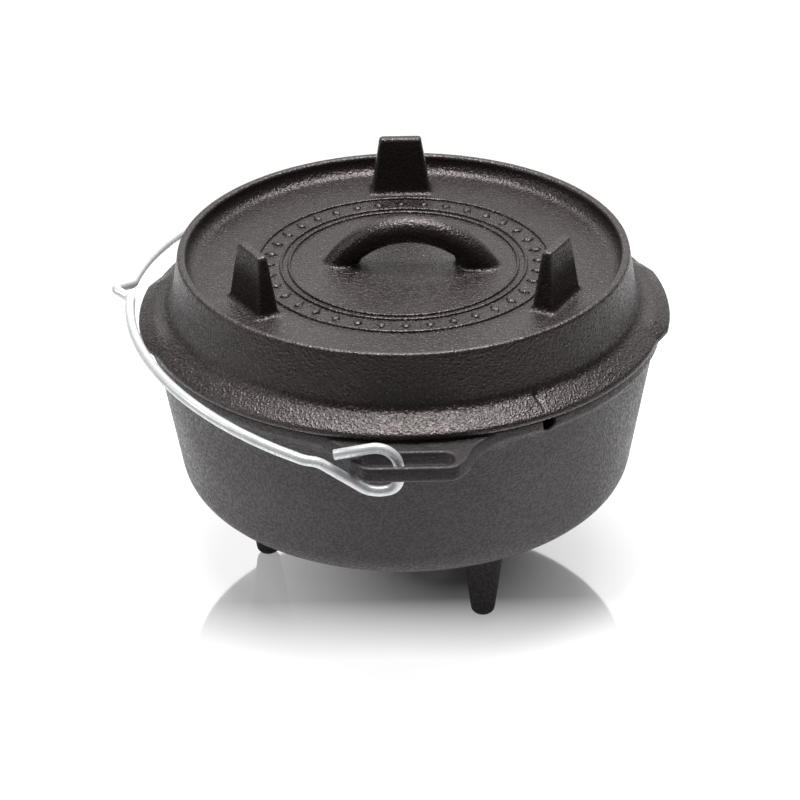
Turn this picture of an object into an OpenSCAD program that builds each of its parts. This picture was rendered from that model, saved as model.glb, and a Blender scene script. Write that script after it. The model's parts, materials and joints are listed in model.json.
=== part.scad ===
// Cast iron dutch oven: a footed pot casting with two slotted ears, a tray lid with a loop
// handle and three feet, and a one-piece wire bail that hooks through both ears.
// Origin on the pot's axis at floor level, +Z up. The ears lie along Y, the lid's grip
// tabs along X, and the bail rests towards -X.

/* [Pot] */
// Height of the pot's rim above the floor
rim_z = 120; // [110:1:135]
// Outer radius of the wall at the rim
mouth_r = 109.5; // [106:0.5:110]
// Radius where the tapered wall would meet the floor of the bowl
base_r = 96.5; // [92:0.5:99]
// Height of the bowl's underside above the floor
base_z = 43.5; // [38:0.5:48]
// Outer radius of the rounded bottom edge
corner_r = 15; // [12:0.5:18]
// Thickness of the wall
wall = 4.8; // [4.5:0.25:6]
// Thickness of the bowl's floor
floor_t = 5.2; // [5:0.5:7]
// Width of the thermometer notch in the rim
notch_w = 6.4; // [5:0.1:8]
// Depth of the thermometer notch
notch_d = 6.2; // [5:0.1:7]

/* [Legs] */
// Distance of the legs from the pot's axis
leg_ring_r = 62.5; // [56:0.5:66]
// Radius of a leg where it leaves the bowl
leg_top_r = 10.4; // [8:0.1:11]
// Radius of a leg just above its rounded tip
leg_tip_r = 5.5; // [5:0.1:6.5]
// Radius of the small flat that a leg stands on
leg_flat_r = 1.8; // [1.5:0.1:3]

/* [Ears] */
// Distance from the pot's axis to an ear's outer edge
ear_reach = 131.4; // [131:0.1:134]
// Thickness of an ear
ear_t = 6.2; // [5.5:0.1:6.4]
// Distance from the pot's axis to the near side of the slot
slot_in = 118.7; // [118:0.1:119.2]
// Distance from the pot's axis to the far side of the slot
slot_out = 127.9; // [127:0.1:128.2]
// Reach of the slot towards -X, where the bail hooks in
slot_hook_end = 19.7; // [19.4:0.1:19.9]
// Reach of the slot towards +X
slot_free_end = 17.4; // [16:0.1:19]

/* [Lid] */
// Height of the lid's tray rim above the floor
tray_z = 151.5; // [148:0.5:155]
// Outer radius of the tray rim
tray_r = 96.5; // [94:0.5:97.5]
// Depth of the tray
tray_depth = 7.5; // [6:0.5:9]
// Width of the tray rim's top
lip_w = 3.5; // [3:0.1:4.5]
// Thickness of the lid's deck
deck_t = 5; // [5:0.5:7]
// Radius of the flange that lies on the pot's rim
flange_r = 111.8; // [111:0.1:112.2]
// Thickness of the flange's outer edge
flange_t = 2.6; // [2.4:0.1:4]
// Radius of the two grip tabs
tab_r = 114.6; // [113:0.1:114.6]
// Half of the angle that a grip tab spans
tab_half_angle = 13.5; // [10:0.5:16]
// Distance that the locating lip reaches into the pot
lip_drop = 4; // [3:0.5:5]

/* [Lid handle and feet] */
// Radius of the handle's arch, at the middle of the bar
arch_r = 37.8; // [36:0.1:39]
// Height of the arch's crown above the deck, at the middle of the bar
arch_rise = 16; // [15:0.1:17]
// Radius of the handle's bar
bar_r = 5.9; // [5:0.1:6.2]
// Sideways place of the handle
handle_x = 3.5; // [0:0.5:4]
// Turn of the handle about the pot's axis
handle_turn = -5; // [-6:0.5:6]
// Height of the lid's feet above the deck
foot_h = 25.7; // [24:0.1:28]
// Distance of the feet from the pot's axis
foot_ring_r = 72.8; // [70:0.1:74]

/* [Bail] */
// Radius of the wire
wire_r = 2.2; // [2:0.05:2.25]
// Distance from the hinge axis to the bow's middle
bow_reach = 96.2; // [96:0.1:99]
// Radius of the bow's near half
near_bow_r = 130; // [126:1:140]
// Radius of the bow's far half, which this hand-bent wire has a little flatter
far_bow_r = 158; // [140:1:165]
// Height of the kink that stands out at the bow's middle
kink_h = 8; // [7:0.1:9]
// Distance of the kink from the bow's middle, towards the far side
kink_shift = 4; // [0:0.5:6]
// Angle of the bail above level when its hooks rest on the ears
rest_angle = 8.7; // [8:0.1:9]

/* [Hidden] */

$fn = 96;
iron = [0.17, 0.16, 0.16];
zinc = [0.78, 0.80, 0.81];

// Pot
leg_angles = [-59.3, 60.7, 180.7];
notch_angle = -58.5;
taper = atan((mouth_r - base_r) / (rim_z - base_z));
bead_h = 5;
bead_out = 1;
inner_mouth_r = mouth_r - wall;
ear_top_z = rim_z - 1.2;
ear_root_half = 36;
ear_root_y = 101.8;
ear_side_half = 24;
ear_tip_half = 15;

// Lid
deck_z = tray_z - tray_depth;
tray_fillet = 5;
cone_foot_r = 100.5;
cone_foot_z = 129;
lid_wall = 5;
seat_gap = 1.5;
lid_lip_r = inner_mouth_r - seat_gap;
lid_lip_t = 4;
tab_turn = 1.5;
foot_angles = [90, 210, 330];

// Bail: the hinge axis runs through the bars at the -X ends of both ears' slots
hinge_x = -22.2;
hinge_z = rim_z - 3.85;
hook_y = (slot_in + slot_out) / 2;
tube_sides = 12;

// Points on an arc of radius r about c, from angle a0 to a1
function arc(c, r, a0, a1, n = 12) =
    [for (i = [0:n]) let (a = a0 + (a1 - a0) * i / n) [c[0] + r * cos(a), c[1] + r * sin(a)]];

function reversed(path) = [for (i = [len(path) - 1:-1:0]) path[i]];

// ---- Pot ----

// Half section of a bowl: wall from (r1, z1) down to the virtual corner (r0, z0), rounded by rc
function bowl_side(r1, z1, r0, z0, rc) =
    let (slope = atan((r1 - r0) / (z1 - z0)),
         back = rc * tan((90 - slope) / 2))
    concat([[0, z0]], arc([r0 - back, z0 + rc], rc, -90, -slope), [[r1, z1]]);

// Outer radius of the tapered wall at height z
function wall_r(z) = mouth_r - (rim_z - z) * tan(taper);

module bowl() {
    inner_base_r = base_r - wall / cos(taper) + floor_t * tan(taper);
    bead_low = rim_z - bead_h - bead_out;
    rotate_extrude() polygon(concat(
        bowl_side(wall_r(bead_low), bead_low, base_r, base_z, corner_r),
        [
            [mouth_r + bead_out, rim_z - bead_h],
            [mouth_r + bead_out, rim_z - 0.6],
            [mouth_r + bead_out - 0.6, rim_z]
        ],
        reversed(bowl_side(
            inner_mouth_r, rim_z, inner_base_r, base_z + floor_t, corner_r - wall))));
}

// Radial slot in the rim for a thermometer's probe
module thermometer_notch() {
    rotate([0, 0, notch_angle])
        translate([mouth_r - 2 * wall, -notch_w / 2, rim_z - notch_d])
            cube([4 * wall, notch_w, notch_d + 1]);
}

module leg() {
    tip_h = 5.4;
    rotate_extrude()
        polygon(concat(
            [[0, 0]],
            [for (i = [0:8]) let (a = 90 * i / 8)
                [leg_flat_r + (leg_tip_r - leg_flat_r) * sin(a), tip_h * (1 - cos(a))]],
            [[leg_top_r, base_z], [leg_top_r, base_z + floor_t / 2], [0, base_z + floor_t / 2]]));
}

// Outline of an ear, drawn towards -Y; its root ends inside the wall
ear_side = [
    [ear_root_half, -ear_root_y], [ear_side_half + 2.5, -ear_reach + 17.7],
    [ear_side_half, -ear_reach + 11.7], [ear_side_half - 0.8, -ear_reach + 5.9],
    [ear_side_half - 4.2, -ear_reach + 2], [ear_tip_half, -ear_reach]
];
ear_outline = concat(ear_side, [for (p = reversed(ear_side)) [-p[0], p[1]]]);

module slot_plan() {
    corner = 3.5;
    hull()
        for (x = [corner - slot_hook_end, slot_free_end - corner], y = [slot_in, slot_out - 2 * corner])
            translate([x, -y - corner]) circle(corner, $fn = 32);
}

module ear() {
    translate([0, 0, ear_top_z - ear_t]) linear_extrude(ear_t)
        difference() {
            polygon(ear_outline);
            circle(mouth_r - wall / 2);
            slot_plan();
        }
}

module pot() {
    color(iron) difference() {
        union() {
            bowl();
            for (a = leg_angles)
                rotate([0, 0, a]) translate([leg_ring_r, 0, 0]) leg();
            for (far = [0, 1])
                mirror([0, far, 0]) ear();
        }
        thermometer_notch();
    }
}

// ---- Lid ----

// Half section of the lid's outer side: tray, rim, cone and flange out to radius r
function lid_section(r) = concat(
    [[0, deck_z]],
    arc([tray_r - lip_w - tray_fillet, deck_z + tray_fillet], tray_fillet, -90, 0, 8),
    [
        [tray_r - lip_w, tray_z], [tray_r, tray_z], [cone_foot_r, cone_foot_z],
        [r - 0.4, rim_z + flange_t - (r - flange_r) * 0.3], [r, rim_z],
        [lid_lip_r, rim_z], [lid_lip_r - 0.5, rim_z - lip_drop],
        [lid_lip_r - lid_lip_t, rim_z - lip_drop],
        [cone_foot_r - lid_wall - 0.5, cone_foot_z - 3],
        [tray_r - lip_w - 3, deck_z - deck_t], [0, deck_z - deck_t]
    ]);

// Sector that cuts a grip tab out of a wider flange; its ends slant by 2 degrees per mm
module tab_sector() {
    far = tab_r + 3;
    near = flange_r - 3;
    near_angle = tab_half_angle + 2 * (tab_r - near);
    far_angle = tab_half_angle - 2 * (far - tab_r);
    linear_extrude(tray_z)
        polygon([
            for (p = [[near, -near_angle], [tab_r, -tab_half_angle], [far, -far_angle],
                      [far, far_angle], [tab_r, tab_half_angle], [near, near_angle]])
                p[0] * [cos(p[1]), sin(p[1])]
        ]);
}

module grip_tabs() {
    intersection() {
        rotate_extrude() polygon([
            [flange_r - 6, rim_z], [tab_r, rim_z], [tab_r - 0.4, rim_z + flange_t - 1],
            [flange_r - 6, rim_z + flange_t + 1]
        ]);
        for (turn = [0, 180]) rotate([0, 0, tab_turn + turn]) tab_sector();
    }
}

module lid_foot() {
    base = [10.5, 27];
    top = [4.5, 18.4];
    hull() {
        translate([0, 0, deck_z - 2]) centred_plate(base, 2);
        translate([0, 0, deck_z + foot_h - 1]) centred_plate(top, 1);
    }
}

module centred_plate(size, h) {
    translate([-size[0] / 2, -size[1] / 2, 0]) cube([size[0], size[1], h]);
}

// Round bar bent to a circular arch; its ends are sunk into the deck
module lid_handle() {
    centre_z = deck_z + arch_rise - arch_r;
    end_angle = asin((deck_z - deck_t / 2 - centre_z) / arch_r);
    rotate([0, 0, handle_turn]) translate([handle_x, 0, centre_z]) rotate([90, 0, 0])
        rotate([0, 0, end_angle])
            rotate_extrude(angle = 180 - 2 * end_angle) translate([arch_r, 0]) circle(bar_r, $fn = 48);
}

module lid() {
    color(iron) {
        rotate_extrude() polygon(lid_section(flange_r));
        grip_tabs();
        for (a = foot_angles) rotate([0, 0, a]) translate([foot_ring_r, 0, 0]) lid_foot();
        lid_handle();
    }
}

// ---- Bail ----

function unit(v) = v / norm(v);

// Points that round the corner b of the path a-b-c with radius r
function rounded(a, b, c, r, n = 6) =
    let (p = unit(a - b), q = unit(c - b),
         half = acos(p * q) / 2,
         back = r / tan(half),
         mid = unit(p + q),
         centre = b + mid * r / sin(half),
         start = b + p * back - centre,
         finish = b + q * back - centre,
         sweep = 180 - 2 * half)
    [for (i = [0:n]) let (k = i / n)
        centre + (sin((1 - k) * sweep) * start + sin(k * sweep) * finish) / sin(sweep)];

// A point of the bow's plane: u outwards from the hinge axis, v across the pot
function bow_point(u, v) =
    [hinge_x - u * cos(rest_angle), -v, hinge_z + u * sin(rest_angle)];

// A point of the hook's plane on one side, measured from the hinge axis
function hook_point(side, x, z) = [hinge_x + x, -side * hook_y, hinge_z + z];

// Points from a to b on an arc of radius r that bulges to the left of the way from a to b
function bulge(a, b, r, n = 14) =
    let (half = norm(b - a) / 2,
         along = (b - a) / (2 * half),
         outward = [-along[1], along[0]],
         centre = (a + b) / 2 - sqrt(r * r - half * half) * outward,
         spread = asin(half / r))
    [for (i = [0:n]) let (t = spread * (2 * i / n - 1))
        centre + r * (sin(t) * along + cos(t) * outward)];

kink_half = 7;
arm_u = 20;
kink_tip = bow_point(bow_reach + kink_h, -kink_shift);
function kink_foot(side) = bow_point(bow_reach, side * kink_half - kink_shift);

// Half of the wire: kink, bow, arm, and the hook that dips under the ear's end bar, comes
// up through the slot and lies over the bar. side is 1 for the near half and -1 for the far.
function half_path(side, r) =
    let (corner = [arm_u, hook_y],
         flat_bow = bulge(corner, [bow_reach, kink_half - side * kink_shift], r),
         bow = [for (p = flat_bow) bow_point(p[0], side * p[1])],
         last = len(bow) - 1,
         arm_corner = bow_point(arm_u, side * hook_y),
         bend = hook_point(side, -14, 2),
         low = hook_point(side, 6.6, -12.5),
         right = hook_point(side, 17.9, -11),
         top = hook_point(side, 18, 9.8),
         tip = hook_point(side, -8, 5.2))
    concat(
        [tip],
        rounded(tip, top, right, 7.5, 9),
        rounded(top, right, low, 5.5),
        rounded(right, low, bend, 6),
        rounded(low, bend, arm_corner, 12),
        rounded(bend, arm_corner, bow[1], 8),
        [for (i = [2:last - 1]) bow[i]],
        rounded(bow[last - 1], kink_foot(side), kink_tip, 4));

bail_path = concat(
    half_path(1, near_bow_r),
    rounded(kink_foot(1), kink_tip, kink_foot(-1), 3),
    reversed(half_path(-1, far_bow_r)));

// Directions along a path, and a normal carried along it without twist
function tangents(path) = [for (i = [0:len(path) - 1])
    unit(path[min(i + 1, len(path) - 1)] - path[max(i - 1, 0)])];
function carried(ts, i, n) =
    i == len(ts) ? [] :
    let (m = unit(n - (n * ts[i]) * ts[i])) concat([m], carried(ts, i + 1, m));

// Closed tube of radius r along a path
module tube(path, r, sides) {
    ts = tangents(path);
    ns = carried(ts, 0, [0, 1, 0]);
    last = len(path) - 1;
    points = [for (i = [0:last], j = [0:sides - 1])
        let (a = 360 * j / sides, b = cross(ts[i], ns[i]))
        path[i] + r * (cos(a) * ns[i] + sin(a) * b)];
    skin = [for (i = [0:last - 1], j = [0:sides - 1])
        let (k = (j + 1) % sides)
        [i * sides + j, (i + 1) * sides + j, (i + 1) * sides + k, i * sides + k]];
    polyhedron(
        points,
        concat(skin, [[for (j = [0:sides - 1]) j]],
            [[for (j = [sides - 1:-1:0]) last * sides + j]]),
        convexity = 10);
}

module bail() {
    color(zinc) tube(bail_path, wire_r, tube_sides);
}

pot();
lid();
bail();
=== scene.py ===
"""Looks of the footed cast iron dutch oven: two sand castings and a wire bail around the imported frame."""

import json
import math

import bpy
import numpy as np
from mathutils import Matrix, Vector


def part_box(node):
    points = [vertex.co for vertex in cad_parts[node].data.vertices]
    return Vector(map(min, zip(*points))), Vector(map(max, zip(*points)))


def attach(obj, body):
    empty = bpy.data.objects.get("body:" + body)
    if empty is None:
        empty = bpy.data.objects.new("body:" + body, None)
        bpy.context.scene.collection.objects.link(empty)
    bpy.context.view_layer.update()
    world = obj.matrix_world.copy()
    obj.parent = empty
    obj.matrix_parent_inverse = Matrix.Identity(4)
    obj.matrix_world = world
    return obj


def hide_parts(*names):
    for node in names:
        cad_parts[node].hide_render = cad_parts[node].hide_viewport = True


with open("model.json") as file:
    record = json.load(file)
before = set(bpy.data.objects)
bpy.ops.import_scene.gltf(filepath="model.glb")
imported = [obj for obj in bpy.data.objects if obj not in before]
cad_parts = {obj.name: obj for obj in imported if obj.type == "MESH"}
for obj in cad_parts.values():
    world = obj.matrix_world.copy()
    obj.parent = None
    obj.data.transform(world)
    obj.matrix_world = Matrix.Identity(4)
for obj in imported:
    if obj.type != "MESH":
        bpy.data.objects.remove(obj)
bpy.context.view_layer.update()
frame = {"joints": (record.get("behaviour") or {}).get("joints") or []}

# Lengths are in millimetres until a mesh is made, then in metres.
MM = 0.001
POT_LOW, POT_HIGH = (np.array(corner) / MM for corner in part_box("pot"))
LID_LOW, LID_HIGH = (np.array(corner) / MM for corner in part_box("lid"))
HINGE = next(joint for joint in frame["joints"] if joint["name"] == "bail_swing")

# Pot
RIM_Z = POT_HIGH[2]
BEAD_R = POT_HIGH[0]
MOUTH_R = BEAD_R - 1
BASE_R = 96.5
BASE_Z = 43.5
WALL = 4.8
FLOOR_T = 5.2
BASE_ROUND = 15
BEAD_H = 5
LEG_RING_R = 62.5
LEG_ANGLES = (-59.3, 60.7, 180.7)
LEG_TOP_R = 10.4
LEG_TIP_R = 5.7
LEG_FILLET = 3.5
NOTCH_ANGLE = -58.5
NOTCH_W = 6.4
NOTCH_D = 6.2

# Half sections start this far beyond the axis, so that the field is solid across it
BEYOND_AXIS = -20

# Ears
EAR_REACH = POT_HIGH[1]
EAR_TOP = RIM_Z - 1.2
EAR_T = 6.2
EAR_DRAFT = 7
EAR_ROOT_R = 107.5
EAR_FILLET = 3.2
SLOT_IN = 118.7
SLOT_OUT = 127.9
SLOT_ENDS = (-19.7, 17.4)
SLOT_ROUND = 3.8

# Lid
TRAY_Z = 151.5
TRAY_R = 96.5
DECK_Z = 144.0
DECK_T = 5
FLANGE_R = LID_HIGH[1]
TAB_R = LID_HIGH[0]
TAB_TURN = 1.5
TAB_HALF_ANGLE = 13.5
TAB_FADE_ANGLE = 5.6
FOOT_TOP = LID_HIGH[2]
FOOT_RING_R = 72.8
FOOT_ANGLES = (90, 210, 330)
FOOT_ROUND = 1.2
ARCH_R = 37.8
ARCH_RISE = 16
BAR_R = 5.9
POST_X = 24.3
POST_R = 5.6
HANDLE_X = 3.5
HANDLE_TURN = -5
GROOVE_R = 1.1
GROOVE_IN = 102

# Relief on the lid's deck
RING_RADII = (49, 52.5, 63.2)
LOZENGE_RING_R = 57.8
LOZENGE_COUNT = 36
RELIEF_H = 0.85

# Bail
WIRE_R = 2.17
CUT_CHAMFER = 0.35
REST_ANGLE = 8.7

# Size of the casting meshes: the field's grid, and the faces kept after thinning
STEP = 0.8
FACES_KEPT = 190000


# ---- Distance fields ----


def arc_corner(before, corner, after, radius, steps=8):
    """Points that round one corner of an outline."""
    before, corner, after = (np.array(p, float) for p in (before, corner, after))
    u = (before - corner) / np.linalg.norm(before - corner)
    v = (after - corner) / np.linalg.norm(after - corner)
    half = math.acos(np.clip(u @ v, -1, 1)) / 2
    if radius <= 0 or half > math.pi / 2 - 0.01:
        return [corner]
    middle = (u + v) / np.linalg.norm(u + v)
    centre = corner + middle * radius / math.sin(half)
    start = corner + u * radius / math.tan(half) - centre
    finish = corner + v * radius / math.tan(half) - centre
    sweep = math.pi - 2 * half
    return [
        centre
        + (math.sin((1 - k) * sweep) * start + math.sin(k * sweep) * finish)
        / math.sin(sweep)
        for k in np.linspace(0, 1, steps + 1)
    ]


def rounded_outline(corners):
    """Closed outline from (x, y, radius) corners."""
    points = []
    count = len(corners)
    for i, (x, y, radius) in enumerate(corners):
        before, after = corners[i - 1][:2], corners[(i + 1) % count][:2]
        points += arc_corner(before, (x, y), after, radius)
    return np.array(points)


def outline_distance(x, y, outline):
    """Signed distance to a closed outline, negative inside."""
    best = np.full(x.shape, 1e9)
    inside = np.zeros(x.shape, bool)
    for (ax, ay), (bx, by) in zip(outline, np.roll(outline, -1, 0)):
        ex, ey = bx - ax, by - ay
        t = np.clip(((x - ax) * ex + (y - ay) * ey) / (ex * ex + ey * ey + 1e-12), 0, 1)
        best = np.minimum(best, (x - ax - t * ex) ** 2 + (y - ay - t * ey) ** 2)
        if ay != by:
            crosses = ((ay > y) != (by > y)) & (x < (bx - ax) * (y - ay) / (by - ay) + ax)
            inside ^= crosses
    return np.where(inside, -1, 1) * np.sqrt(best)


class FlatField:
    """Signed distance to an outline, looked up from a fine grid."""

    def __init__(self, outline, margin=30, step=0.3):
        self.step = step
        self.low = outline.min(0) - margin
        high = outline.max(0) + margin
        axes = [np.arange(self.low[i], high[i] + step, step) for i in (0, 1)]
        x, y = np.meshgrid(*axes, indexing="ij")
        self.grid = outline_distance(x, y, outline).astype(np.float32)

    def __call__(self, x, y):
        u = np.clip((x - self.low[0]) / self.step, 0, self.grid.shape[0] - 1.001)
        v = np.clip((y - self.low[1]) / self.step, 0, self.grid.shape[1] - 1.001)
        i, j = u.astype(np.int32), v.astype(np.int32)
        fu, fv = u - i, v - j
        g = self.grid
        near = g[i, j] * (1 - fu) + g[i + 1, j] * fu
        far = g[i, j + 1] * (1 - fu) + g[i + 1, j + 1] * fu
        return near * (1 - fv) + far * fv


def joined(a, b, fillet):
    """Union of two fields with a round fillet between them."""
    u, v = np.maximum(fillet - a, 0), np.maximum(fillet - b, 0)
    return np.maximum(fillet, np.minimum(a, b)) - np.hypot(u, v)


def common(a, b, edge):
    """Intersection of two fields with a rounded edge."""
    u, v = np.maximum(a + edge, 0), np.maximum(b + edge, 0)
    return np.minimum(np.maximum(a, b), -edge) + np.hypot(u, v)


def turned(x, y, degrees):
    """Coordinates in a frame turned about Z."""
    c, s = math.cos(math.radians(degrees)), math.sin(math.radians(degrees))
    return x * c + y * s, y * c - x * s


def ramp(x, low, high):
    """Smooth step from 0 at low to 1 at high."""
    t = np.clip((x - low) / (high - low), 0, 1)
    return t * t * (3 - 2 * t)


# ---- Closed meshes from fields ----

# Fine steps in a block of the rough grid
BLOCK = 4
# A block is worked out finely when its centre is within this many block widths of the surface
NEAR_SURFACE = 1.45
BLOCKS_AT_ONCE = 8000
# How often each vertex is pulled onto the surface
PULLS = 3


def sampled(field, low, counts, step):
    """The field on a grid, exact near its surface and rough elsewhere."""
    blocks = [math.ceil(c / BLOCK) for c in counts]
    centre = [low[i] + (np.arange(blocks[i]) * BLOCK + (BLOCK - 1) / 2) * step for i in range(3)]
    rough = field(*np.meshgrid(*centre, indexing="ij")).astype(np.float32)
    values = rough
    for axis in range(3):
        values = np.repeat(values, BLOCK, axis)
    near = np.argwhere(np.abs(rough) < NEAR_SURFACE * BLOCK * step)
    offsets = np.stack(np.meshgrid(*[np.arange(BLOCK)] * 3, indexing="ij"), -1).reshape(-1, 3)
    for part in np.array_split(near, max(1, len(near) // BLOCKS_AT_ONCE)):
        index = (part[:, None] * BLOCK + offsets).reshape(-1, 3)
        point = low + index * step
        values[tuple(index.T)] = field(*point.T)
    return values


def gradient(field, points, reach=0.15):
    """Slope of the field at each point."""
    steps = np.eye(3) * reach
    return np.stack([(field(*(points + s).T) - field(*(points - s).T)) / (2 * reach) for s in steps], 1)


def surface_net(field, low, high, step):
    """Vertices and quads of the surface where the field is zero."""
    low = np.array(low, float) - 2 * step
    counts = [math.ceil((high[i] + 2 * step - low[i]) / step) + 1 for i in range(3)]
    values = sampled(field, low, counts, step)
    size = np.array(values.shape)
    inside = values < 0
    cells, corners, flips = [], [], []
    for a in range(3):
        b, c = (a + 1) % 3, (a + 2) % 3
        lower = [slice(None)] * 3
        upper = [slice(None)] * 3
        lower[a], upper[a] = slice(0, -1), slice(1, None)
        edge = np.argwhere(inside[tuple(lower)] != inside[tuple(upper)])
        step_a, step_b, step_c = np.eye(3, dtype=int)[[a, b, c]]
        first = values[tuple(edge.T)]
        second = values[tuple((edge + step_a).T)]
        crossing = edge + (first / (first - second))[:, None] * step_a
        around = [edge - step_b - step_c, edge - step_c, edge, edge - step_b]
        cells.append(np.stack([np.ravel_multi_index(k.T, size) for k in around], 1))
        corners.append(crossing)
        flips.append(first > 0)
    cells, corners, flips = (np.concatenate(part) for part in (cells, corners, flips))
    used, quads = np.unique(cells, return_inverse=True)
    quads = quads.reshape(-1, 4)
    total = np.bincount(quads.ravel(), minlength=len(used))
    points = np.stack(
        [np.bincount(quads.ravel(), np.repeat(corners[:, k], 4), len(used)) / total for k in range(3)], 1
    )
    quads[flips] = quads[flips][:, ::-1]
    points = low + points * step
    for _ in range(PULLS):
        slope = gradient(field, points)
        move = field(*points.T)[:, None] * slope / np.maximum((slope**2).sum(1), 0.25)[:, None]
        points -= np.clip(move, -step, step)
    return points, quads


def in_scene(name, data):
    """Object that shows this data, linked to the scene."""
    thing = bpy.data.objects.new(name, data)
    bpy.context.scene.collection.objects.link(thing)
    return thing


def mesh_object(name, points, faces):
    """Smooth object from vertices in millimetres."""
    mesh = bpy.data.meshes.new(name)
    mesh.from_pydata((np.asarray(points) * MM).tolist(), [], faces)
    mesh.shade_smooth()
    mesh.update()
    return in_scene(name, mesh)


def thinned(piece, faces):
    """Fewer triangles where the surface is flat."""
    triangles = sum(len(p.vertices) - 2 for p in piece.data.polygons)
    if triangles > faces:
        modifier = piece.modifiers.new("Thin", "DECIMATE")
        modifier.ratio = faces / triangles
        seen = piece.evaluated_get(bpy.context.evaluated_depsgraph_get())
        mesh = bpy.data.meshes.new_from_object(seen)
        piece.modifiers.clear()
        piece.data = mesh
        mesh.shade_smooth()
    return piece


def mark_edges(piece, field, reach=1.3):
    """Stores how sharply the casting turns outwards, for paler edges."""
    mesh = piece.data
    points = np.empty(len(mesh.vertices) * 3)
    mesh.vertices.foreach_get("co", points)
    points = points.reshape(-1, 3) / MM
    around = sum(field(*(points + s).T) for s in np.vstack([np.eye(3), -np.eye(3)]) * reach)
    bend = np.clip((around - 6 * field(*points.T)) / reach, -2, 2)
    mesh.attributes.new("bend", "FLOAT", "POINT").data.foreach_set("value", bend.astype(np.float32))


def casting(name, field, low, high):
    """One sand casting as a closed mesh."""
    points, quads = surface_net(field, low, high, STEP)
    piece = thinned(mesh_object(name, points, quads.tolist()), FACES_KEPT)
    mark_edges(piece, field)
    return piece


# ---- Pot ----


def pot_section():
    """Half section of the bowl: outside up to the rim, then down the inside."""
    taper = (MOUTH_R - BASE_R) / (RIM_Z - BASE_Z)
    tilt = math.atan(taper)
    bead_low = RIM_Z - BEAD_H - 1
    inner_r = BASE_R - WALL / math.cos(tilt) + FLOOR_T * taper
    return rounded_outline([
        (BEYOND_AXIS, BASE_Z, 0),
        (BASE_R, BASE_Z, BASE_ROUND),
        (MOUTH_R - (RIM_Z - bead_low) * taper, bead_low, 4),
        (BEAD_R, RIM_Z - BEAD_H, 1.8),
        (BEAD_R, RIM_Z, 1.1),
        (MOUTH_R - WALL, RIM_Z, 1.1),
        (inner_r, BASE_Z + FLOOR_T, 11),
        (BEYOND_AXIS, BASE_Z + FLOOR_T, 0),
    ])


def leg_section():
    """Half section of a leg, with its rounded tip on the floor."""
    return rounded_outline([
        (-6, 0, 0),
        (2, 0, 1.8),
        (5, 1.9, 3.2),
        (LEG_TIP_R, 7, 8),
        (LEG_TOP_R, BASE_Z, 0),
        (LEG_TOP_R, BASE_Z + 2, 0.5),
        (-6, BASE_Z + 2, 0),
    ])


def ear_outline():
    """Ear seen from above, drawn towards -Y, with its root inside the wall."""
    side = [
        (38, -100.5, 0),
        (26.8, -EAR_REACH + 17, 9),
        (23.9, -EAR_REACH + 7.2, 5),
        (18.6, -EAR_REACH, 7),
    ]
    return rounded_outline(side + [(-x, y, r) for x, y, r in reversed(side)])


def slot_outline():
    """The slot in an ear, seen from above."""
    left, right = SLOT_ENDS
    corners = [(right, -SLOT_IN), (right, -SLOT_OUT), (left, -SLOT_OUT), (left, -SLOT_IN)]
    return rounded_outline([(x, y, SLOT_ROUND) for x, y in corners])


def pot_field():
    """Bowl, legs and ears in one casting, with the thermometer notch cut into the rim."""
    bowl = FlatField(pot_section())
    leg = FlatField(leg_section())
    ear_plan = FlatField(ear_outline(), margin=20)
    slot_plan = FlatField(slot_outline(), margin=20)
    middle = EAR_TOP - EAR_T / 2
    draft = math.tan(math.radians(EAR_DRAFT))

    def ear(x, y, z):
        shrink = np.clip(z - EAR_TOP + EAR_T, 0, EAR_T) * draft
        plan = common(ear_plan(x, y) + shrink, -slot_plan(x, y) + shrink * 0.5, 0.6)
        root = EAR_ROOT_R - np.hypot(x, y)
        flat = np.abs(z - middle) - EAR_T / 2
        return common(common(plan, flat, 1.1), root, 0.5)

    def field(x, y, z):
        r = np.hypot(x, y)
        body = bowl(r, z)
        for angle in LEG_ANGLES:
            u, v = turned(x, y, angle)
            body = joined(body, leg(np.hypot(u - LEG_RING_R, v), z), LEG_FILLET)
        ears = np.minimum(ear(x, y, z), ear(x, -y, z))
        top = z - RIM_Z + ramp(r, BEAD_R - 0.5, BEAD_R + 1.5) * (RIM_Z - EAR_TOP)
        body = np.maximum(joined(body, ears, EAR_FILLET), top)
        u, v = turned(x, y, NOTCH_ANGLE)
        bottom = RIM_Z - NOTCH_D + NOTCH_W / 2
        notch = np.hypot(v, np.minimum(z - bottom, 0)) - NOTCH_W / 2
        notch = np.maximum(notch, MOUTH_R - 20 - u)
        return common(body, -notch, 0.9)

    return field


# ---- Lid ----


def lid_section():
    """Half section of the lid: tray, rim, cone, flange, locating lip and the hollow underneath."""
    lip_r = MOUTH_R - WALL - 1.5
    return rounded_outline([
        (BEYOND_AXIS, DECK_Z, 0),
        (TRAY_R - 3.9, DECK_Z, 5.5),
        (TRAY_R - 3.4, TRAY_Z, 1.2),
        (TRAY_R, TRAY_Z, 1.3),
        (100.4, 128.6, 6),
        (FLANGE_R - 0.4, RIM_Z + 2.6, 1.2),
        (FLANGE_R, RIM_Z, 0.9),
        (lip_r, RIM_Z, 0.8),
        (lip_r - 0.5, RIM_Z - 4, 1),
        (lip_r - 4, RIM_Z - 4, 1),
        (95, 126, 5),
        (90, DECK_Z - DECK_T, 5),
        (BEYOND_AXIS, DECK_Z - DECK_T, 0),
    ])


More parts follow.
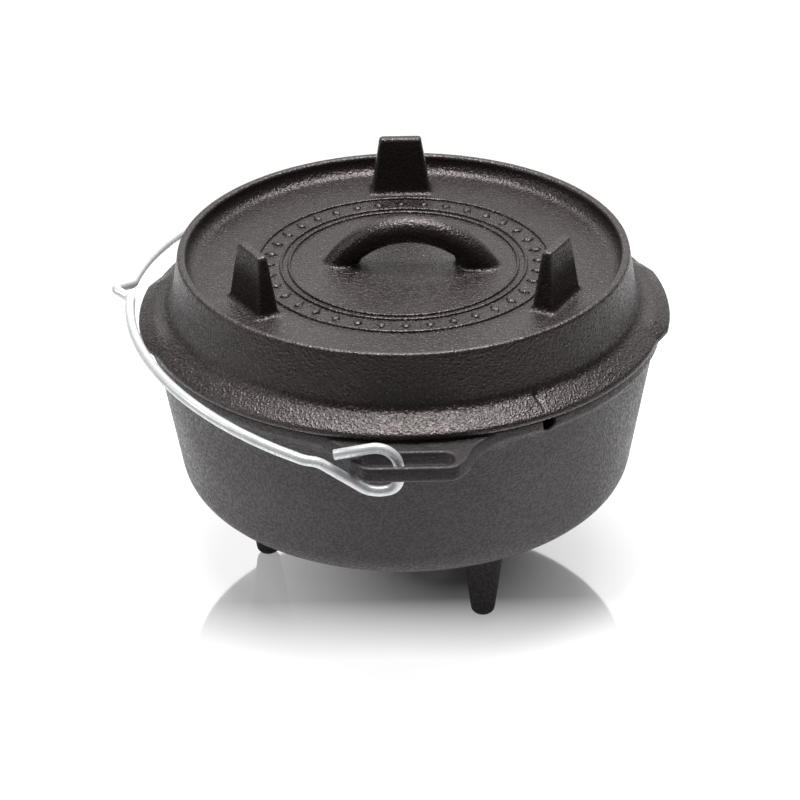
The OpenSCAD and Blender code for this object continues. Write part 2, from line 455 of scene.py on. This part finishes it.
def lid_foot(u, v, z):
    """Tapered blade; u is measured outwards from the foot's middle and v along it."""
    rise = np.clip((z - DECK_Z) / (FOOT_TOP - DECK_Z), -0.2, 1.2)
    half_u, half_v = 4.9 - 2.65 * rise, 13.2 - 4 * rise
    qu, qv = np.abs(u) - half_u + FOOT_ROUND, np.abs(v) - half_v + FOOT_ROUND
    plan = np.hypot(np.maximum(qu, 0), np.maximum(qv, 0)) + np.minimum(np.maximum(qu, qv), 0) - FOOT_ROUND
    return np.maximum(common(plan, z - FOOT_TOP, FOOT_ROUND), DECK_Z - 1.5 - z)


def lid_handle(x, y, z):
    """Round bar bent to an arch, with a heavier foot on its +X side."""
    u, v = turned(x, y, HANDLE_TURN)
    u = u - HANDLE_X
    centre_z = DECK_Z + ARCH_RISE - ARCH_R
    bar = np.hypot(np.hypot(u, z - centre_z) - ARCH_R, v) - BAR_R
    post = np.hypot(np.hypot(u - POST_X, v), np.maximum(z - DECK_Z - 2, 0)) - POST_R
    return np.maximum(joined(bar, post, 2), DECK_Z - 1.5 - z)


def lid_field():
    """Lid, feet and handle in one casting, with a groove in the cone behind the notch."""
    body_section = FlatField(lid_section())

    def field(x, y, z):
        r = np.hypot(x, y)
        angle = np.degrees(np.arctan2(y, x)) - TAB_TURN
        from_tab = np.abs((angle + 90) % 180 - 90)
        tab = (TAB_R - FLANGE_R) * (1 - np.clip((from_tab - TAB_HALF_ANGLE) / TAB_FADE_ANGLE, 0, 1))
        body = body_section(r - tab * ramp(r, 103, 109), z)
        for turn in FOOT_ANGLES:
            u, v = turned(x, y, turn)
            body = joined(body, lid_foot(u - FOOT_RING_R, v, z), 2.2)
        body = joined(body, lid_handle(x, y, z), 1.6)
        u, v = turned(x, y, NOTCH_ANGLE - 1)
        groove_z = RIM_Z + 8.2 - (u - 101) * 0.4
        groove = np.maximum(np.hypot(v, z - groove_z) - GROOVE_R, GROOVE_IN - u)
        return common(body, -groove, 0.5)

    return field


RIDGE_STEPS = 6


def ridge(radius, half=0.8, count=240):
    """Low rounded ring on the deck, with its base sunk in it."""
    around = np.linspace(0, 2 * math.pi, count, endpoint=False)
    across = np.linspace(0, math.pi, RIDGE_STEPS + 1)[:, None]
    r = radius - half * np.cos(across) + 0 * around
    lift = RELIEF_H * np.sin(across) + 0 * around
    lift[[0, -1]] -= 0.25
    points = np.stack([r * np.cos(around), r * np.sin(around), DECK_Z + lift], -1)
    rows = RIDGE_STEPS + 1
    index = np.arange(rows * count).reshape(rows, count)
    faces = []
    for i in range(count):
        ahead = (i + 1) % count
        for k in range(rows):
            above_leg_shade = (k + 1) % rows
            faces.append((index[k, i], index[above_leg_shade, i], index[above_leg_shade, ahead], index[k, ahead]))
    return points.reshape(-1, 3), faces


def lozenge(radius, degrees, half_long=3.1, half_wide=2.1):
    """Low pyramid with its base sunk in the deck."""
    corners = [(half_long, 0), (0, half_wide), (-half_long, 0), (0, -half_wide)]
    c, s = math.cos(math.radians(degrees)), math.sin(math.radians(degrees))
    points = []
    for grow, lift in ((1, -0.3), (1, 0), (0.62, RELIEF_H)):
        points += [
            ((radius + u * grow) * c - v * grow * s, (radius + u * grow) * s + v * grow * c, DECK_Z + lift)
            for u, v in corners
        ]
    faces = [(3, 2, 1, 0), (8, 9, 10, 11)]
    for row in (0, 4):
        faces += [(row + k, row + (k + 1) % 4, row + 4 + (k + 1) % 4, row + 4 + k) for k in range(4)]
    return points, faces


def relief():
    """Plain cast border on the deck: three thin rings, with lozenges between the outer two."""
    parts = [ridge(radius) for radius in RING_RADII]
    parts += [lozenge(LOZENGE_RING_R, 360 * k / LOZENGE_COUNT) for k in range(LOZENGE_COUNT)]
    points, faces = [], []
    for some_points, some_faces in parts:
        start = len(points)
        points += [tuple(p) for p in some_points]
        faces += [tuple(int(i) + start for i in face) for face in some_faces]
    return mesh_object("lid_relief", points, faces)


# ---- Bail ----

HINGE_AT = np.array(HINGE["pos_m"]) / MM
HOOK_Y = (SLOT_IN + SLOT_OUT) / 2
BOW_REACH = 96.2
NEAR_BOW_R = 130
FAR_BOW_R = 158
KINK_H = 8
KINK_SHIFT = 4
KINK_HALF = 7
ARM_U = 20
# The hook seen from the side, relative to the hinge: (x, z) of its tip and of its four bends
HOOK = ((-8, 5.2), (18, 9.8), (17.9, -11), (6.6, -12.5), (-14, 2))


def bow_point(u, v):
    """Point of the bail's plane: u outwards from the hinge axis, v towards the near ear."""
    lean = math.radians(REST_ANGLE)
    return HINGE_AT + (-u * math.cos(lean), -v, u * math.sin(lean))


def bulge(a, b, radius, steps=26):
    """Points from a to b on an arc that bulges away from the pot."""
    a, b = np.array(a, float), np.array(b, float)
    half = np.linalg.norm(b - a) / 2
    along = (b - a) / (2 * half)
    outward = np.array([-along[1], along[0]])
    centre = (a + b) / 2 - math.sqrt(radius**2 - half**2) * outward
    spread = math.asin(half / radius)
    turns = np.linspace(-spread, spread, steps)
    return [centre + radius * (math.sin(t) * along + math.cos(t) * outward) for t in turns]


def half_bail(side, radius):
    """Half of the wire, from the hook's tip to the kink."""
    bow_end = (BOW_REACH, KINK_HALF - side * KINK_SHIFT)
    bow = [bow_point(u, side * v) for u, v in bulge((ARM_U, HOOK_Y), bow_end, radius)]
    tip, top, right, low, bend = [HINGE_AT + (x, -side * HOOK_Y, z) for x, z in HOOK]
    arm = bow_point(ARM_U, side * HOOK_Y)
    foot = bow_point(BOW_REACH, side * KINK_HALF - KINK_SHIFT)
    kink = bow_point(BOW_REACH + KINK_H, -KINK_SHIFT)
    return (
        [tip]
        + arc_corner(tip, top, right, 9.5, 14)
        + arc_corner(top, right, low, 5.5, 10)
        + arc_corner(right, low, bend, 13, 10)
        + arc_corner(low, bend, arm, 12, 8)
        + arc_corner(bend, arm, bow[1], 8, 8)
        + bow[2:-1]
        + arc_corner(bow[-2], foot, kink, 4, 8)
    )


def bail_wire(sides=28):
    """The wire as one closed tube with flat, slightly broken cut ends."""
    foot = [bow_point(BOW_REACH, s * KINK_HALF - KINK_SHIFT) for s in (1, -1)]
    kink = bow_point(BOW_REACH + KINK_H, -KINK_SHIFT)
    bend = arc_corner(foot[0], kink, foot[1], 3, 12)
    path = np.array(half_bail(1, NEAR_BOW_R) + bend + half_bail(-1, FAR_BOW_R)[::-1])
    ends = [path[1] - path[0], path[-2] - path[-1]]
    chamfers = [e / np.linalg.norm(e) * CUT_CHAMFER for e in ends]
    path = np.vstack([path[:1], path[:1] + chamfers[0], path[1:-1], path[-1:] + chamfers[1], path[-1:]])
    radii = np.full(len(path), WIRE_R)
    radii[[0, -1]] -= CUT_CHAMFER
    along = np.vstack([path[1] - path[0], path[2:] - path[:-2], path[-1] - path[-2]])
    along /= np.linalg.norm(along, axis=1)[:, None]
    normal = np.array([0, 1.0, 0])
    points = []
    angle = np.linspace(0, 2 * math.pi, sides, endpoint=False)[:, None]
    for centre, tangent, radius in zip(path, along, radii):
        normal = normal - (normal @ tangent) * tangent
        normal /= np.linalg.norm(normal)
        side = np.cross(tangent, normal)
        points.append(centre + radius * (np.cos(angle) * normal + np.sin(angle) * side))
    count = len(path)
    index = np.arange(count * sides).reshape(count, sides)
    faces = [
        (index[i, j], index[i, (j + 1) % sides], index[i + 1, (j + 1) % sides], index[i + 1, j])
        for i in range(count - 1)
        for j in range(sides)
    ]
    faces += [tuple(index[0, ::-1]), tuple(index[-1])]
    piece = mesh_object("bail_wire", np.vstack(points), [tuple(map(int, f)) for f in faces])
    for end in piece.data.polygons[-2:]:
        end.use_smooth = False
    return piece


# ---- Materials ----


class Nodes:
    """Short way to write a node material."""

    def __init__(self, name):
        self.material = bpy.data.materials.new(name)
        self.material.use_nodes = True
        self.tree = self.material.node_tree
        self.shader = self.tree.nodes["Principled BSDF"]
        self.place = self.add("ShaderNodeTexCoord").outputs["Object"]

    def add(self, kind, **settings):
        node = self.tree.nodes.new(kind)
        for key, value in settings.items():
            if key in node.inputs:
                node.inputs[key].default_value = value
            else:
                setattr(node, key, value)
        return node

    def link(self, source, target):
        self.tree.links.new(source, target)

    def noise(self, size_mm, detail=3.0, roughness=0.6):
        node = self.add("ShaderNodeTexNoise", Scale=1 / (size_mm * MM), Detail=detail, Roughness=roughness)
        self.link(self.place, node.inputs["Vector"])
        return node.outputs["Fac"]

    def spread(self, value, low, high, to_low, to_high):
        node = self.add("ShaderNodeMapRange")
        for i, number in enumerate((low, high, to_low, to_high)):
            node.inputs[i + 1].default_value = number
        self.link(value, node.inputs[0])
        return node.outputs[0]

    def calculate(self, kind, a, b):
        node = self.add("ShaderNodeMath", operation=kind)
        for socket, value in zip(node.inputs, (a, b)):
            if isinstance(value, (int, float)):
                socket.default_value = value
            else:
                self.link(value, socket)
        return node.outputs[0]

    def sum(self, a, b):
        return self.calculate("ADD", a, b)

    def product(self, a, b):
        return self.calculate("MULTIPLY", a, b)

    def distance(self, point):
        node = self.add("ShaderNodeVectorMath", operation="DISTANCE")
        self.link(self.place, node.inputs[0])
        node.inputs[1].default_value = point
        return node.outputs["Value"]

    def blend(self, amount, a, b):
        node = self.add("ShaderNodeMix", data_type="RGBA")
        self.link(amount, node.inputs["Factor"])
        for socket, value in ((node.inputs[6], a), (node.inputs[7], b)):
            if isinstance(value, tuple):
                socket.default_value = (*value, 1)
            else:
                self.link(value, socket)
        return node.outputs[2]

    def bump(self, height, distance_mm, strength=1.0, before=None):
        node = self.add("ShaderNodeBump", Strength=strength, Distance=distance_mm * MM)
        self.link(height, node.inputs["Height"])
        if before:
            self.link(before, node.inputs["Normal"])
        return node.outputs["Normal"]


def cast_iron(name, dark, light, sheen_low, sheen_high, gloss, tint, grain_mm, grit_mm, sand_mm):
    """Seasoned sand-cast iron: cloudy brown-black oil coat, paler edges and grains, duller from the bowl's
    underside down, and blacker there as painted shade for the pot's shadow on its legs. The last three are
    bump heights."""
    n = Nodes(name)
    sand = n.noise(size_mm=0.72, detail=1.0)
    grit = n.noise(size_mm=1.15, detail=0.0)
    grain = n.noise(size_mm=3.5, detail=2.0, roughness=0.5)
    cloud = n.noise(size_mm=28, detail=4.0, roughness=0.55)
    bend = n.add("ShaderNodeAttribute", attribute_name="bend").outputs["Fac"]
    edge = n.spread(bend, 0.25, 1.1, 0, 1)
    colour = n.blend(n.spread(cloud, 0.35, 0.68, 0, 1), dark, light)
    colour = n.blend(n.spread(grit, 0.42, 0.7, 0, 0.45), colour, tuple(c * 1.9 for c in light))
    colour = n.blend(n.product(edge, 0.3), colour, (0.09, 0.08, 0.078))
    axes = n.add("ShaderNodeSeparateXYZ")
    n.link(n.place, axes.inputs[0])
    # Painted shade: below the bowl's underside the colour is darkened to stand in for the pot's shadow on
    # its legs. The roughness there is raised as well.
    above_leg_shade = n.spread(axes.outputs["Z"], 0.036, 0.05, 0, 1)
    colour = n.blend(above_leg_shade, tuple(c * 0.6 for c in dark), colour)
    n.link(colour, n.shader.inputs["Base Color"])
    rough = n.spread(cloud, 0.3, 0.7, sheen_low, sheen_high)
    rough = n.sum(rough, n.spread(grit, 0.3, 0.7, 0.08, -0.16))
    rough = n.sum(rough, n.spread(above_leg_shade, 0, 1, 0.35, 0))
    n.link(rough, n.shader.inputs["Roughness"])
    normal = n.bump(grain, grain_mm, 1.0)
    normal = n.bump(grit, grit_mm, 1.0, normal)
    normal = n.bump(sand, sand_mm, 1.0, normal)
    n.link(normal, n.shader.inputs["Normal"])
    n.shader.inputs["Specular IOR Level"].default_value = gloss
    n.shader.inputs["Specular Tint"].default_value = (*tint, 1)
    return n.material


def zinc_wire(name):
    """Bright zinc-plated drawn wire with faint dull patches and draw lines."""
    n = Nodes(name)
    patch = n.noise(size_mm=6, detail=3.0)
    fine = n.noise(size_mm=0.9, detail=2.0)
    colour = n.blend(n.spread(patch, 0.4, 0.7, 0, 1), (0.88, 0.89, 0.9), (0.71, 0.73, 0.75))
    n.link(colour, n.shader.inputs["Base Color"])
    n.shader.inputs["Metallic"].default_value = 0.35
    n.link(n.spread(patch, 0.3, 0.7, 0.24, 0.36), n.shader.inputs["Roughness"])
    n.link(n.bump(fine, 0.03, 0.6), n.shader.inputs["Normal"])
    return n.material


def pale_floor(name):
    """White floor: polished round and behind the pot, matte in front and further off, with a painted pool
    of light round the pot and painted light glowing in it to fill the pot's shadow.
    """
    n = Nodes(name)
    axes = n.add("ShaderNodeSeparateXYZ")
    n.link(n.place, axes.inputs[0])
    polish = n.spread(axes.outputs["Y"], -0.089, -0.042, 0, 1)
    # Painted pool of light: the floor's colour is pale near the pot and dark further off, as if lit only
    # there. The same mask also scales the painted glow.
    painted_light_pool = n.spread(n.distance((0, 0.25, 0)), 0.5, 0.85, 1, 0)
    mirror = n.product(polish, n.spread(n.distance((0, 0.1, 0)), 0.25, 0.45, 1, 0))
    near = n.blend(mirror, (0.88, 0.88, 0.88), (0.5, 0.5, 0.505))
    n.link(n.blend(painted_light_pool, (0.36, 0.36, 0.36), near), n.shader.inputs["Base Color"])
    n.link(n.product(mirror, 0.95), n.shader.inputs["Specular IOR Level"])
    n.shader.inputs["IOR"].default_value = 3.2
    n.shader.inputs["Roughness"].default_value = 0.05
    # Painted light: the floor glows round and in front of the pot, most where the pot's shadow falls, to
    # lift that shade. It is no lamp.
    painted_glow = n.spread(n.distance((0.02, -0.01, 0)), 0.02, 0.085, 0, 0.33)
    painted_glow = n.sum(painted_glow, n.spread(n.distance((0.01, 0.02, 0)), 0.1, 0.17, 0, 0.5))
    front_painted_glow = n.spread(n.distance((0, 0, 0)), 0.11, 0.23, 0.84, 0.05)
    front_painted_glow = n.product(front_painted_glow, n.spread(polish, 0, 1, 1, 0))
    painted_glow = n.sum(n.product(painted_glow, polish), front_painted_glow)
    painted_glow = n.product(painted_glow, n.spread(n.distance((0, 0.05, 0)), 0.19, 0.34, 1, 0.1))
    n.shader.inputs["Emission Color"].default_value = (1, 1, 1, 1)
    n.link(n.product(painted_glow, painted_light_pool), n.shader.inputs["Emission Strength"])
    return n.material


# ---- Stage ----

CAMERA_AZIMUTH = -0.5
CAMERA_ELEVATION = 29.3
CAMERA_ROLL = -0.83
CAMERA_DISTANCE = 1.358
CAMERA_TARGET = (-0.0024, 0, 0.0766)
CAMERA_LENS = 139.3
FLOOR_REACH = 12
WORLD_STRENGTH = 0.11


def add_camera():
    """The photo's camera, turned by azimuth, elevation and roll about its target."""
    a, e = math.radians(CAMERA_AZIMUTH), math.radians(CAMERA_ELEVATION)
    back = np.array([math.sin(a) * math.cos(e), -math.cos(a) * math.cos(e), math.sin(e)])
    right = np.array([math.cos(a), math.sin(a), 0])
    up = np.cross(back, right)
    c, s = math.cos(math.radians(CAMERA_ROLL)), math.sin(math.radians(CAMERA_ROLL))
    axes = np.array([c * right + s * up, c * up - s * right, back]).T
    data = bpy.data.cameras.new("camera")
    data.lens = CAMERA_LENS
    data.sensor_width = 36
    data.clip_end = 50
    camera = in_scene("camera", data)
    place = np.eye(4)
    place[:3, :3] = axes
    place[:3, 3] = np.array(CAMERA_TARGET) + back * CAMERA_DISTANCE
    camera.matrix_world = Matrix(place.tolist())
    bpy.context.scene.camera = camera


def add_area(name, place, target, size, power):
    """Rectangular lamp that faces its target."""
    data = bpy.data.lights.new(name, "AREA")
    data.shape = "RECTANGLE"
    data.size, data.size_y = size
    data.energy = power
    lamp = in_scene(name, data)
    lamp.location = place
    away = np.array(place, float) - np.array(target, float)
    tilt = math.acos(away[2] / np.linalg.norm(away))
    lamp.rotation_euler = (tilt, 0, math.atan2(away[1], away[0]) + math.pi / 2)


def add_stage():
    """Floor, dim white surroundings and three lamps."""
    mesh = bpy.data.meshes.new("floor")
    corners = [(x * FLOOR_REACH, y * FLOOR_REACH, 0) for x, y in ((-1, -1), (1, -1), (1, 1), (-1, 1))]
    mesh.from_pydata(corners, [], [(0, 1, 2, 3)])
    floor = in_scene("floor", mesh)
    floor.data.materials.append(pale_floor("floor_white"))
    world = bpy.data.worlds.new("studio")
    world.use_nodes = True
    background = world.node_tree.nodes["Background"]
    background.inputs["Color"].default_value = (1, 1, 1, 1)
    background.inputs["Strength"].default_value = WORLD_STRENGTH
    bpy.context.scene.world = world
    bpy.context.scene.view_settings.view_transform = "Standard"
    add_area("back_wall", place=(0.3, 1.9, 1.15), target=(0.3, 0, 1.0), size=(3.4, 1.9), power=18.5)
    add_area("top_soft_box", place=(0.05, 0.25, 1.6), target=(0, 0, 0.1), size=(1.1, 0.9), power=37)
    add_area("left_soft_box", place=(-1.3, -0.1, 0.9), target=(0, 0, 0.1), size=(0.6, 0.7), power=3.4)


# ---- Build ----

add_camera()
add_stage()

pot_iron = cast_iron(
    "pot_iron",
    dark=(0.012, 0.01, 0.0103), light=(0.025, 0.021, 0.0215),
    sheen_low=0.42, sheen_high=0.55, gloss=0.47, tint=(1, 0.94, 0.955),
    grain_mm=0.05, grit_mm=0.13, sand_mm=0.24,
)
lid_iron = cast_iron(
    "lid_iron",
    dark=(0.005, 0.0028, 0.0027), light=(0.01, 0.0062, 0.006),
    sheen_low=0.3, sheen_high=0.4, gloss=0.8, tint=(1, 0.885, 0.88),
    grain_mm=0.1, grit_mm=0.21, sand_mm=0.3,
)

pot = casting("pot_casting", pot_field(), POT_LOW, POT_HIGH)
pot.data.materials.append(pot_iron)
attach(pot, "pot")
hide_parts("pot")

lid = casting("lid_casting", lid_field(), LID_LOW, LID_HIGH)
lid.data.materials.append(lid_iron)
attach(lid, "lid")
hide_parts("lid")

border = relief()
border.data.materials.append(lid_iron)
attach(border, "lid")

bail = bail_wire()
bail.data.materials.append(zinc_wire("bail_zinc"))
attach(bail, "bail")
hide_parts("bail")
